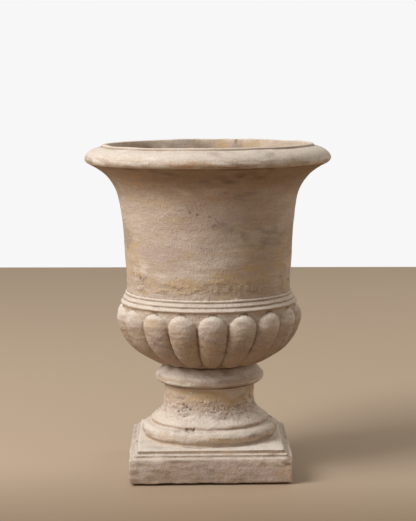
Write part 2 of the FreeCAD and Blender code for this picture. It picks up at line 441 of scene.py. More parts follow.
@dataclass(frozen=True)
class Metal:
    """Dull plumbing metal with tarnish in patches."""

    name: str
    bright: tuple
    tarnish: tuple
    roughness: float

    def build(self) -> Material:
        """Build the finish.

        Returns:
            The material.
        """
        tree = Tree(self.name)
        patches = tree.noise(160.0, 5.0, 0.6)
        scratches = tree.noise(900.0, 2.0, 0.5, 0.0, tree.stretched(0.2, 3.0))
        share = (patches + scratches * 0.3).step(0.5, 0.85)
        colour = tree.mix(share, self.bright, self.tarnish)
        shader = {
            "Base Color": colour,
            "Metallic": 1.0,
            "Roughness": (share * 0.3 + self.roughness).clamped(),
        }
        return tree.finish(shader, [(scratches, 0.6), (patches, 0.4)], 0.0002)


@dataclass(frozen=True)
class Rubber:
    """Matt black rubber, dusty."""

    name: str = "dusty_rubber"

    def build(self) -> Material:
        """Build the finish.

        Returns:
            The material.
        """
        tree = Tree(self.name)
        dust = tree.noise(190.0, 4.0, 0.6)
        colour = tree.mix(dust.step(0.45, 0.8) * 0.5, tint(26, 25, 24), tint(96, 88, 78))
        shader = {"Base Color": colour, "Roughness": (dust * 0.3 + 0.6).clamped()}
        return tree.finish(shader, [(dust, 1.0)], 0.0003)


# ---- outlines ----


@dataclass(frozen=True)
class Run:
    """One stretch of an outline, from the run before it to the last of its own points.

    points are (radius, level); rows is how many rows of the grid it gets; a curved run is a smooth
    curve through its points, any other is straight from point to point.
    """

    points: tuple
    rows: int
    curved: bool = False


def smooth_curve(points: Array, spacing: float) -> Array:
    """Points along a smooth curve: cubic pieces whose slope at each point is that of its neighbours.

    Args:
        points: the points that the curve passes, one a row.
        spacing: about how far apart the new points are.

    Returns:
        The new points, without the last.
    """
    gaps = np.linalg.norm(np.diff(points, axis=0), axis=1)
    reach = np.concatenate([[0.0], np.cumsum(gaps)])
    slopes = np.gradient(points, reach, axis=0)
    count = max(4, int(reach[-1] / spacing))
    along = np.linspace(0, reach[-1], count, endpoint=False)
    piece = np.clip(np.searchsorted(reach, along, side="right") - 1, 0, len(gaps) - 1)
    width = gaps[piece][:, None]
    t = (along - reach[piece])[:, None] / width
    start, end = points[piece], points[piece + 1]
    leave, arrive = slopes[piece] * width, slopes[piece + 1] * width
    return (
        (2 * t**3 - 3 * t**2 + 1) * start
        + (t**3 - 2 * t**2 + t) * leave
        + (3 * t**2 - 2 * t**3) * end
        + (t**3 - t**2) * arrive
    )


class Outline:
    """A closed outline in radius and level, with its corners worn round.

    The runs are laid end to end as fine points, a Gaussian blur along the line rounds the corners,
    and the rows of the grid are then picked from it, as many in each run as it asks for.
    """

    FINE = 0.25

    def __init__(self, runs: list[Run], wear: float) -> None:
        """Trace the runs; the last ends where the first starts.

        Args:
            runs: the stretches, in the order down the outside, in underneath and up the inside.
            wear: the blur that rounds the corners, in millimetres.
        """
        here = np.array(runs[-1].points[-1], float)
        traced, rows, total = [], [], 0
        self.starts = []
        for run in runs:
            corners = np.vstack([here, np.array(run.points, float)])
            fine = smooth_curve(corners, self.FINE) if run.curved else self._straight(corners)
            self.starts.append(len(rows))
            rows.extend(total + len(fine) * step / run.rows for step in range(run.rows))
            traced.append(fine)
            total += len(fine)
            here = corners[-1]
        line = self._worn(np.vstack(traced), wear / self.FINE)
        places = np.array(rows)
        index = np.arange(total + 1)
        closed = np.vstack([line, line[:1]])
        self.radius = np.interp(places, index, closed[:, 0])
        self.level = np.interp(places, index, closed[:, 1])

    def _straight(self, corners: Array) -> Array:
        """Fine points along straight lines from corner to corner.

        Args:
            corners: radius and level, one corner a row.

        Returns:
            The points, without the last.
        """
        pieces = []
        for start, end in zip(corners, corners[1:]):
            count = max(2, int(np.linalg.norm(end - start) / self.FINE))
            pieces.append(start + (end - start) * np.linspace(0, 1, count, endpoint=False)[:, None])
        return np.vstack(pieces)

    @staticmethod
    def _worn(line: Array, blur: float) -> Array:
        """The closed line, averaged along itself with Gaussian weights.

        Args:
            line: the points of the closed line.
            blur: the width of the weights, in points.

        Returns:
            The worn line.
        """
        reach = int(4 * blur) + 1
        offsets = np.arange(-reach, reach + 1)
        weights = np.exp(-0.5 * (offsets / blur) ** 2)
        padded = np.vstack([line[-reach:], line, line[:reach]])
        kernel = weights / weights.sum()
        return np.stack([np.convolve(padded[:, i], kernel, "valid") for i in (0, 1)], axis=1)

    def outward(self) -> tuple[Array, Array]:
        """The outline's unit normals: radius and level parts, from central differences.

        Returns:
            The normals' radius parts and their level parts.
        """
        run = np.roll(self.radius, -1) - np.roll(self.radius, 1)
        rise = np.roll(self.level, -1) - np.roll(self.level, 1)
        size = np.maximum(np.hypot(run, rise), 1e-9)
        return -rise / size, run / size


# ---- fields over the surface ----


def waves(points: Array, length: float, seed: int, count: int = 30) -> Array:
    """A smooth random field about -1 to 1: many sine waves of random direction and phase, added.

    Args:
        points: where it is wanted, in millimetres, with x, y, z last.
        length: the mean wave length.
        seed: picks the waves.
        count: how many waves.

    Returns:
        The field, with the points' leading shape.
    """
    rng = np.random.default_rng(seed)
    heading = rng.normal(size=(count, 3))
    heading /= np.linalg.norm(heading, axis=1, keepdims=True)
    pace = 2 * np.pi / (length * rng.uniform(0.7, 1.5, count))
    phase = rng.uniform(0, 2 * np.pi, count)
    total = np.zeros(points.shape[:-1])
    for wave in range(count):
        total += np.sin(points @ (heading[wave] * pace[wave]) + phase[wave])
    return total / math.sqrt(count / 2)


def bell_curve(distance: Array, width: float) -> Array:
    """1 at no distance, falling as a Gaussian of that width."""
    return np.exp(-((distance / width) ** 2))


def grid_normals(points: Array) -> Array:
    """Unit normals of a grid closed both ways: the cross product of its central differences.

    Args:
        points: the grid.

    Returns:
        The normals.
    """
    down = np.roll(points, -1, 0) - np.roll(points, 1, 0)
    around = np.roll(points, -1, 1) - np.roll(points, 1, 1)
    normal = np.cross(down, around)
    return normal / np.maximum(np.linalg.norm(normal, axis=-1, keepdims=True), 1e-12)


def hollowness(points: Array, normals: Array, reach: int) -> Array:
    """How far the four neighbours some steps away stand above the surface, over their distance.

    Args:
        points: a grid closed both ways.
        normals: its normals.
        reach: how many steps away the neighbours are.

    Returns:
        Above 0 in a hollow, below 0 on an edge.
    """
    total = np.zeros(points.shape[:2])
    for axis in (0, 1):
        for step in (-reach, reach):
            offset = np.roll(points, step, axis) - points
            distance = np.maximum(np.linalg.norm(offset, axis=-1), 0.05)
            total += (offset * normals).sum(-1) / distance
    return total / 4


def radius_of(points: Array) -> Array:
    """Each point's distance from the urn's axis."""
    return np.hypot(points[..., 0], points[..., 1])


def azimuth_of(points: Array) -> Array:
    """Each point's azimuth in degrees; the photographed side is at -90."""
    return np.degrees(np.arctan2(points[..., 1], points[..., 0]))


def aside_of(azimuth: Array, middle: float, points: Array) -> Array:
    """How far each point lies round the urn from a middle azimuth: the turn times the radius."""
    turn = (azimuth - middle + 180) % 360 - 180
    return np.radians(turn) * radius_of(points)


@dataclass(frozen=True)
class Patch:
    """A stain: its kind, its middle as azimuth in degrees and level, its half sizes and strength.

    Its slant is how far it climbs for each millimetre to the right.
    """

    kind: StainOrShading
    azimuth: float
    level: float
    across: float
    high: float
    strength: float = 1.0
    slant: float = 0.0

    def field(self, azimuth: Array, points: Array) -> Array:
        """The stain's strength over a grid: a Gaussian blob.

        Args:
            azimuth: each point's azimuth in degrees.
            points: the grid.

        Returns:
            Strength, 0 to about 1.
        """
        aside = aside_of(azimuth, self.azimuth, points)
        above = points[..., 2] - self.level - self.slant * aside
        return self.strength * np.exp(-((aside / self.across) ** 2 + (above / self.high) ** 2))


@dataclass(frozen=True)
class Band:
    """A stain all the way round, between two levels and beyond a radius, with soft edges; several bands are
    painted light and painted shade.
    """

    kind: StainOrShading
    low: float
    high: float
    beyond: float
    strength: float = 1.0
    soft: float = 1.0

    def field(self, azimuth: Array, points: Array) -> Array:
        """The stain's strength over a grid.

        Args:
            azimuth: each point's azimuth, which a band doesn't need.
            points: the grid.

        Returns:
            Strength, 0 to 1.
        """
        level = points[..., 2]
        inside = np.minimum(level - self.low, self.high - level) / self.soft
        outside = radius_of(points) > self.beyond
        return self.strength * np.clip(inside + 0.5, 0, 1) * outside


@dataclass(frozen=True)
class Pitting:
    """A zone of pits: middle and half sizes as for a stain, how many, and how wide and deep.

    With a negative depth they are crumbs that stand proud. None lies nearer the axis than outside.
    """

    azimuth: float
    level: float
    across: float
    high: float
    count: int
    width: float
    depth: float
    outside: float = 30.0

    def field(self, azimuth: Array, points: Array, seed: int) -> Array:
        """Depth of the zone's pits over a grid, each a Gaussian dent round a point of the grid.

        Args:
            azimuth: each point's azimuth in degrees.
            points: the grid.
            seed: picks the pits.

        Returns:
            Depth in millimetres.
        """
        rng = np.random.default_rng(seed)
        radius = radius_of(points)
        aside = aside_of(azimuth, self.azimuth, points) / self.across
        above = (points[..., 2] - self.level) / self.high
        chance = (np.exp(-(aside**2) - above**2) * (radius > self.outside)).ravel()
        flat = points.reshape(-1, 3)
        total = np.zeros(len(flat))
        near = np.flatnonzero(chance > 0.01)
        picks = rng.choice(near, self.count, p=chance[near] / chance[near].sum())
        widths = self.width * rng.uniform(0.5, 1.3, self.count)
        depths = self.depth * rng.uniform(0.3, 1.2, self.count)
        for pick, width, depth in zip(picks, widths, depths):
            square = ((flat[near] - flat[pick]) ** 2).sum(1)
            total[near] += depth * np.exp(-square / width**2)
        return total.reshape(radius.shape)


# ---- castings ----


def swept(radius: Array, angle: Array, level: Array) -> Array:
    """A grid of points: x = radius cos angle, y = radius sin angle, z = level."""
    radius, angle, level = np.broadcast_arrays(radius, angle, level)
    return np.stack([radius * np.cos(angle), radius * np.sin(angle), level], axis=-1)


@dataclass
class Casting:
    """A clay casting: an outline carried round the axis, made uneven, stained and dressed.

    columns is how many steps its grid has round the axis, and wear the blur of its corners. valley
    weighs how much soil and painted shade a wide hollow gets. sway, ripple and their lengths are the
    unevenness, which fades out towards the bore. tear and tear_length bend the stains, drawn makes those
    bends wider than high, and flat is the bend of the surface that counts neither as a hollow nor as an
    edge.
    """

    name: str
    node: str
    columns: int
    wear: float
    seed: int
    finish: Limewash
    patches: tuple = ()
    pittings: tuple = ()
    valley: float = 0.0
    sway: float = 0.35
    ripple: float = 0.10
    drawn: float = 0.3
    sway_length: float = 70.0
    ripple_length: float = 16.0
    stroke_length: float = 9.0
    stroke_squash: float = 0.35
    bore: float = 14.0
    bore_fade: float = 6.0
    tear: tuple = (9.0, 9.0, 2.5)
    tear_length: float = 15.0
    flat: float = 0.08
    lowest: float = 0.4

    def runs(self) -> list[Run]:
        """The casting's outline."""
        raise NotImplementedError

    def carry(self, line: Outline) -> Array:
        """Carry the outline round the axis in even steps: rows down it, columns round the axis."""
        angle = np.radians(np.arange(self.columns) * 360 / self.columns - 90)
        return swept(line.radius[:, None], angle, line.level[:, None])

    def underside_shade_weight(self, level: Array) -> Array:
        """How strongly the painted shade on the undersides shows at each level."""
        return np.ones(level.shape)

    def uneven(self, points: Array) -> tuple[Array, Array]:
        """Push the grid in and out along its normals: slow sway, ripples, brush strokes and pits.

        Args:
            points: the true grid.

        Returns:
            The uneven grid, and the depth of the pits, below 0 on a crumb.
        """
        push = self.sway * waves(points, self.sway_length, self.seed)
        push += self.ripple * waves(points, self.ripple_length, self.seed + 1, 50)
        squashed = points * np.array([self.stroke_squash, self.stroke_squash, 1.0])
        push += self.ripple * waves(squashed, self.stroke_length, self.seed + 2, 40)
        dents = np.zeros(push.shape)
        azimuth = azimuth_of(points)
        for number, zone in enumerate(self.pittings):
            dents += zone.field(azimuth, points, self.seed + 10 + number)
        push -= dents
        fade = np.clip((radius_of(points) - self.bore) / self.bore_fade, 0, 1)
        return points + grid_normals(points) * (push * fade)[..., None], dents

    def build(self) -> Object:
        """Returns:
            Its object.
        """
        points, dents = self.uneven(self.carry(Outline(self.runs(), self.wear)))
        points[..., 2] = np.maximum(points[..., 2], self.lowest)
        piece = grid_object(self.name, points)
        self.store_masks(piece, points, dents)
        piece.data.materials.append(self.finish.build())
        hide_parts(self.node)
        return piece

    def store_masks(self, piece: Object, points: Array, dents: Array) -> None:
        """Write the hollows, edges, facings, pits and stains of the grid onto the mesh's points; some masks
        place painted shade and painted light.

        Args:
            piece: the object made from the grid.
            points: the grid.
            dents: the depth of its pits.
        """
        normals = grid_normals(points)
        near, far, wide = (hollowness(points, normals, reach) for reach in (1, 3, 6))
        masks = {
            # Soil and painted shade in hollows; valley widens it into the lobes' valleys.
            "hollow": np.clip(0.5 * near + 1.6 * far + self.valley * wide - self.flat, 0, 1),
            # Worn lime and painted highlight on convex edges.
            "edge": np.clip(-2.6 * near - 0.5 * far - self.flat, 0, 1),
            # Lime and painted top light on surfaces facing up.
            "up": np.clip(normals[..., 2], 0, 1),
            # Painted shade on surfaces facing down, weighted by level.
            "under": np.clip(-normals[..., 2], 0, 1) * self.underside_shade_weight(points[..., 2]),
            "pit": np.clip(dents, 0, 1),
            "lump": np.clip(-dents, 0, 1),
        }
        drawn = points * np.array([self.drawn, self.drawn, 1.0])
        bends = [
            reach * waves(drawn, self.tear_length, self.seed + 60 + axis, 24)
            for axis, reach in enumerate(self.tear)
        ]
        bent = points + np.stack(bends, axis=-1)
        azimuth = azimuth_of(bent)
        ragged = 1 + 0.45 * waves(drawn, 8.0, self.seed + 70, 50)
        for kind in StainOrShading:
            total = np.zeros(points.shape[:2])
            for patch in self.patches:
                if patch.kind is kind:
                    total += patch.field(azimuth, points if isinstance(patch, Band) else bent)
            masks[kind.label] = np.clip(total * ragged, 0, 1.2)
        for name, mask in masks.items():
            store = piece.data.attributes.new(name, "FLOAT", "POINT")
            store.data.foreach_set("value", mask.astype(np.float32).ravel())


def grid_object(name: str, points: Array) -> Object:
    """Make a mesh from a grid closed both ways, with four-sided faces that face outwards.

    Args:
        name: the object's name.
        points: rows down the outside, columns counter-clockwise, in millimetres.

    Returns:
        The object, on the root body.
    """
    rows, columns = points.shape[:2]
    row, column = np.meshgrid(np.arange(rows), np.arange(columns), indexing="ij")
    below, beside = (row + 1) % rows, (column + 1) % columns
    corners = [(row, column), (below, column), (below, beside), (row, beside)]
    faces = np.stack([r * columns + c for r, c in corners], axis=-1).reshape(-1, 4)
    mesh = bpy.data.meshes.new(name)
    mesh.vertices.add(rows * columns)
    mesh.vertices.foreach_set("co", (points * MM).astype(np.float32).ravel())
    mesh.loops.add(faces.size)
    mesh.loops.foreach_set("vertex_index", faces.astype(np.int32).ravel())
    mesh.polygons.add(len(faces))
    mesh.polygons.foreach_set("loop_start", np.arange(0, faces.size, 4, dtype=np.int32))
    mesh.polygons.foreach_set("loop_total", np.full(len(faces), 4, dtype=np.int32))
    mesh.polygons.foreach_set("use_smooth", np.ones(len(faces), dtype=bool))
    mesh.update(calc_edges=True)
    mesh.validate()
    piece = bpy.data.objects.new(name, mesh)
    bpy.context.scene.collection.objects.link(piece)
    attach(piece, "root")
    return piece


@dataclass
class Bowl(Casting):
    """The bowl: lip, rolled rim, bell wall, three fillets, gadrooned belt, and the hollow inside.

    A lobe is half_angle degrees to each side and stands relief_top proud at its head, relief_end at
    its foot. start, dome, tail, end and hug_reach are shares of the belt's length. The columns close in
    on a lobe down to its narrowest share of the width, a hug_share of them, and hug_reach past the belt.
    """

    lobes: int = 18
    turn: float = 1.7
    half_angle: float = 9.45
    relief_top: float = 11.8
    relief_end: float = 6.5
    dome: float = 0.17
    tail: float = 0.10
    start: float = 0.02
    end: float = 0.955
    fillet_rings: tuple = ((269.4, 124.4), (262.6, 127.8), (256.0, 131.6))
    fillet_height: float = 2.8
    narrowest: float = 0.34
    hug_share: float = 0.78
    hug_reach: float = 0.12
    roundness: float = 0.6
    belt_run: int = field(init=False, default=0)

    def runs(self) -> list[Run]:
        """The bowl's outline, from the lip down the outside and up the inside.

        Returns:
            The runs, in order.
        """
        runs = [
            Run(((156.6, 486.9), (156.8, 484.2)), 5),
            Run(((157.8, 483.8), (159.4, 484.7)), 5),
            Run(((165.0, 482.9), (172.9, 479.3), (178.1, 475.1), (181.4, 470.4), (182.2, 467.4),
                 (181.2, 464.2), (177.6, 460.6)), 26, True),
            Run(((166.7, 454.4), (157.9, 448.4), (150.8, 442.4), (141.6, 430.5), (135.6, 418.6),
                 (131.0, 400.0), (126.9, 370.9), (124.1, 322.9), (121.9, 284.5), (121.9, 270.4)), 68, True),
        ]
        for level, radius in self.fillet_rings:
            foot = level - self.fillet_height
            runs.append(Run(((radius - 0.9, level),), 3))
            runs.append(Run(((radius, level - 0.8), (radius, foot + 0.5)), 5))
            runs.append(Run(((radius - 0.8, foot - 0.4),), 3))
        self.belt_run = len(runs) + 1
        runs += [
            Run(((129.4, 250.8),), 2),
            Run(((128.8, 239.0), (126.6, 224.0), (119.0, 206.0), (106.5, 190.0), (88.0, 176.0),
                 (64.0, 164.0)), 76, True),
            Run(((64.0, 160.1),), 2),
            Run(((12.0, 160.1),), 4),
            Run(((12.0, 178.5),), 3),
            Run(((28.0, 178.5),), 4),
            Run(((74.0, 184.5), (95.0, 196.0), (106.0, 218.0), (109.5, 252.0), (106.9, 285.0),
                 (109.0, 330.0), (111.9, 371.0), (117.6, 404.0), (128.5, 433.0), (142.4, 459.0),
                 (148.4, 480.0), (149.0, 486.4)), 38, True),
            Run(((150.4, 488.0), (155.4, 488.0), (156.6, 486.9)), 7),
        ]
        return runs

    def underside_shade_weight(self, level: Array) -> Array:
        """Less painted underside shade on the lobes, more under the rim, none on the rolled rim itself."""
        return np.interp(level, (250, 300, 400, 459.5, 461.5), (0.7, 0.85, 0.95, 0.9, 0.0))

    def carry(self, line: Outline) -> Array:
        """Carry the outline round the axis and raise the lobes from it.

        Across one pitch a lobe stands over the valley line by (1 - across squared) to the power of its
        roundness; its height and width fall to nothing as a quarter circle at its dome and its tail.
        Near the belt the columns close in on the lobe's sides.

        Args:
            line: the outline.

        Returns:
            The grid of points.
        """
        first = line.starts[self.belt_run]
        last = line.starts[self.belt_run + 1]
        steps = np.hypot(np.diff(line.radius), np.diff(line.level))
        length = np.concatenate([[0.0], np.cumsum(steps)])
        along = ((length - length[first]) / (length[last] - length[first]))[:, None]
        dome = np.clip((along - self.start) / self.dome, 0, 1)
        tail = np.clip((self.end - along) / self.tail, 0, 1)
        full = np.sqrt(1 - (1 - dome) ** 2) * np.sqrt(1 - (1 - tail) ** 2)

        per_lobe = self.columns // self.lobes
        step = np.arange(per_lobe) / per_lobe * 2 - 1
        outside = np.minimum(np.abs(along), np.maximum(np.abs(along - 0.5) - 0.5, 0))
        near = bell_curve(outside, self.hug_reach)
        half = self.half_angle * np.maximum(full, self.narrowest)
        half_pitch = 360 / self.lobes / 2
        share = self.hug_share
        inside = np.sin(np.clip(step / share, -1, 1) * np.pi / 2)[None, :] * half
        beyond = np.clip((np.abs(step) - share) / (1 - share), 0, 1)[None, :]
        hugging = inside + np.sign(step)[None, :] * beyond * (half_pitch - half)
        even = step[None, :] * half_pitch
        degrees = even + (hugging - even) * near
        across = np.clip(np.abs(degrees) / np.maximum(self.half_angle * full, 1e-6), 0, 1)
        relief = (self.relief_top + (self.relief_end - self.relief_top) * along) * full
        height = np.where((along > 0) & (along < 1), relief * (1 - across**2) ** self.roundness, 0.0)

        radial, upward = line.outward()
        radius = line.radius[:, None] + height * radial[:, None]
        level = line.level[:, None] + height * upward[:, None]
        angles = [degrees + 360 / self.lobes * lobe for lobe in range(self.lobes)]
        angle = np.radians(np.concatenate(angles, axis=1) - 90 + self.turn)
        return swept(np.tile(radius, self.lobes), angle, np.tile(level, self.lobes))


@dataclass
class Collar(Casting):
    """The collar under the bowl: a sloping shoulder over a round roll."""

    def runs(self) -> list[Run]:
        """The collar's outline.

        Returns:
            The runs, in order.
        """
        return [
            Run(((66.4, 159.3),), 16),
            Run(((70.5, 156.0), (74.2, 151.8), (77.2, 148.4)), 12, True),
            Run(((79.6, 146.0), (80.9, 142.0), (80.4, 138.6), (78.2, 135.4), (75.8, 133.6)), 18, True),
            Run(((73.0, 132.9),), 5),
            Run(((12.0, 132.9),), 8),
            Run(((12.0, 159.3),), 3),
        ]


@dataclass
class Foot(Casting):
    """The foot: waisted neck, flare, groove and torus."""

    def runs(self) -> list[Run]:
        """The foot's outline.

        Returns:
            The runs, in order.
        """
        return [
            Run(((70.4, 131.1),), 10),
            Run(((68.3, 127.4), (67.2, 118.5), (66.9, 106.0), (69.5, 96.0), (74.2, 89.1), (82.1, 82.5),
                 (86.4, 79.6), (88.0, 77.6)), 76, True),
            Run(((87.9, 75.6), (87.0, 74.0)), 7),
            Run(((88.0, 72.7), (91.2, 72.0)), 6),
            Run(((96.0, 70.9), (100.2, 66.8), (101.5, 61.8), (100.4, 57.6), (97.8, 54.0),
                 (96.6, 51.8)), 28, True),
            Run(((97.8, 50.0), (96.6, 49.4), (91.0, 49.4)), 8),
            Run(((90.4, 51.7), (12.0, 51.7)), 10),
            Run(((12.0, 131.1),), 3),
        ]


@dataclass
class Plinth(Casting):
    """The stepped square plinth, with a passage through it and a pocket underneath.

    Its columns are spread as a mixture of even steps and steps that gather at the corners.
    """

    squareness: float = 70.0
    round_until: float = 60.0
    square_from: float = 98.0
    even_share: float = 0.16
    gathered_share: float = 0.84

    def runs(self) -> list[Run]:
        """The plinth's outline: here the radius is half the width of the square.

        Returns:
            The runs, in order.
        """
        return [
            Run(((118.5, 4.6), (118.8, 20.0), (119.2, 36.6)), 26),
            Run(((118.0, 39.2),), 6),
            Run(((111.8, 39.6),), 7),
            Run(((111.4, 43.3),), 6),
            Run(((106.8, 44.1),), 6),
            Run(((106.4, 49.4),), 7),
            Run(((96.0, 50.0), (60.0, 50.0), (12.0, 50.0)), 34),
            Run(((12.0, 21.0),), 3),
            Run(((24.0, 21.0),), 3),
            Run(((24.0, 3.2),), 3),
            Run(((117.0, 3.2),), 14),
        ]

    def carry(self, line: Outline) -> Array:
        """Carry the outline round a square that turns to a circle near the axis.

        In direction a the square's edge is at half / (|cos a|^p + |sin a|^p)^(1/p): a circle for
        p = 2, a square with small round corners for a large p. Columns gather at the corners.

        Args:
            line: the outline.

        Returns:
            The grid of points.
        """
        side = self.columns // 4
        step = np.arange(side) / side * 2 - 1
        place = self.even_share * step + self.gathered_share * np.sin(np.pi / 2 * step)
        quarters = [np.arctan2(place, 1.0) + np.pi / 2 * quarter for quarter in (-1, 0, 1, 2)]
        angle = np.concatenate(quarters)[::-1]
        growth = np.clip((line.radius - self.round_until) / (self.square_from - self.round_until), 0, 1)
        power = (2 * (self.squareness / 2) ** growth)[:, None]
        cosine, sine = np.abs(np.cos(angle))[None, :], np.abs(np.sin(angle))[None, :]
        larger = np.maximum(cosine, sine)
        edge = larger * ((cosine / larger) ** power + (sine / larger) ** power) ** (1 / power)
        return swept(line.radius[:, None] / edge, angle, line.level[:, None])


# ---- stage ----


@dataclass(frozen=True)
class Camera:
    """The photograph's viewpoint, as fitted to the rim, the collar and the plinth."""

    distance: float = 2.35
    height: float = 0.5965
    pitch: float = 6.8748
    yaw: float = 0.7
    roll: float = 0.45
    aside: float = -0.00068
    lens: float = 109.44
    sensor: float = 36.0

    def place(self) -> Object:
        """Put the camera in the scene.

        Returns:
            The camera's object.
        """
        camera = bpy.data.objects.new("camera", bpy.data.cameras.new("camera"))
        bpy.context.scene.collection.objects.link(camera)
        camera.data.lens = self.lens
        camera.data.sensor_width = self.sensor
        turn = Matrix.Rotation(-math.radians(self.yaw), 4, "Z")
        tilt = Matrix.Rotation(math.pi / 2 - math.radians(self.pitch), 4, "X")
        lean = Matrix.Rotation(-math.radians(self.roll), 4, "Z")
        stand = Matrix.Translation(Vector((self.aside, -self.distance, self.height)))
        camera.matrix_world = turn @ stand @ tilt @ lean
        bpy.context.scene.camera = camera
        bpy.context.scene.view_settings.view_transform = "Standard"
        return camera


@dataclass(frozen=True)
class Lamp:
    """One soft square light: where it hangs and faces, its side, its watts and its colour."""

    name: str
    place: tuple
    side: float
    power: float
    colour: tuple
    facing: tuple = (0, 0, 0.25)

    def hang(self) -> None:
        """Put the light in the scene."""
        lamp = bpy.data.lights.new(self.name, "AREA")
        lamp.energy = self.power
        lamp.size = self.side
        lamp.color = self.colour
        holder = bpy.data.objects.new(self.name, lamp)
        bpy.context.scene.collection.objects.link(holder)
        holder.location = self.place
        aim = Vector(self.facing) - Vector(self.place)
        holder.rotation_euler = aim.to_track_quat("-Z", "Y").to_euler()


@dataclass(frozen=True)
class Studio:
    """A plain pale floor that ends at the back, white beyond it, and soft lights, in metres.

    The floor is in its near tone, a painted shade that darkens it towards the camera, up to the first level
    of near_fade in y, and clear of it at the second.
    """

    floor_tone: tuple = tint(188, 166, 141)
    near_shade_tone: tuple = tint(132, 109, 85)
    cloud_tone: tuple = tint(186, 162, 134)
    cloud_share: float = 0.2
    near_fade: tuple = (-0.45, 0.05)
    half_width: float = 8.0
    front_edge: float = -9.0
    back_edge: float = 2.43
    back_skew: float = 0.064
    backdrop: tuple = (0.93, 0.93, 0.93, 1.0)
    ambient: float = 0.385
    ambient_tone: tuple = (1.0, 0.95, 0.88)
    lamps: tuple = (
        Lamp("key", (-2.62, -1.42, 2.75), 1.9, 152.0, (0.98, 0.985, 1.0)),
        Lamp("edge", (2.4, 1.6, 1.6), 1.6, 16.72, (1.0, 0.95, 0.89)),
    )

    def build(self) -> None:
        """Make the floor, the surroundings and the lights."""
        self._floor()
        self._surroundings()
        for lamp in self.lamps:
            lamp.hang()

    def _floor(self) -> None:
        """Make the floor, whose back edge runs a little askew."""
        mesh = bpy.data.meshes.new("floor")
        side, front = self.half_width, self.front_edge
        skew = side * self.back_skew
        back = ((side, self.back_edge - skew, 0), (-side, self.back_edge + skew, 0))
        mesh.from_pydata([(-side, front, 0), (side, front, 0), *back], [], [(0, 1, 2, 3)])
        floor = bpy.data.objects.new("floor", mesh)
        bpy.context.scene.collection.objects.link(floor)
        tree = Tree("floor_plain")
        soft = tree.noise(3.0, 3.0)
        axes = tree.node("ShaderNodeSeparateXYZ", None, {0: tree.place})
        # Painted shade: the floor darkens towards the camera.
        near = 1.0 - Value(tree, axes.outputs["Y"]).step(*self.near_fade)
        colour = tree.mix(near, self.floor_tone, self.near_shade_tone)
        colour = tree.mix(soft * self.cloud_share, colour, self.cloud_tone)
        mesh.materials.append(tree.finish({"Base Color": colour, "Roughness": 0.6}, [(soft, 1.0)], 0.0001))

    def _surroundings(self) -> None:
        """Light from all round, and a brighter white where the camera sees past the floor."""
        world = bpy.data.worlds.new("studio")
        bpy.context.scene.world = world
        world.use_nodes = True
        nodes, links = world.node_tree.nodes, world.node_tree.links
        back = nodes["Background"]
        path = nodes.new("ShaderNodeLightPath")
        blend = nodes.new("ShaderNodeMix")
        blend.data_type = "RGBA"
        blend.inputs["A"].default_value = (*(self.ambient * part for part in self.ambient_tone), 1.0)
        blend.inputs["B"].default_value = self.backdrop
        links.new(path.outputs["Is Camera Ray"], blend.inputs["Factor"])
        links.new(blend.outputs["Result"], back.inputs["Color"])
        back.inputs["Strength"].default_value = 1.0


# ---- the urn ----


TURNS = (0, 118, 241)


def spots(kind: StainOrShading, *places: tuple) -> tuple:
    """Patches of one kind: each place is azimuth, level, half width, half height, strength, slant."""
    return tuple(Patch(kind, *place) for place in places)


def around(stains: tuple) -> tuple:
    """The stains, and the patches among them again about a third and two thirds of a turn on.

    Args:
        stains: bands and patches.

    Returns:
        The bands once, then the patches at each turn.
    """
    bands = tuple(stain for stain in stains if isinstance(stain, Band))
    patches = [stain for stain in stains if isinstance(stain, Patch)]
    turned = (replace(patch, azimuth=patch.azimuth + turn) for turn in TURNS for patch in patches)
    return (*bands, *turned)


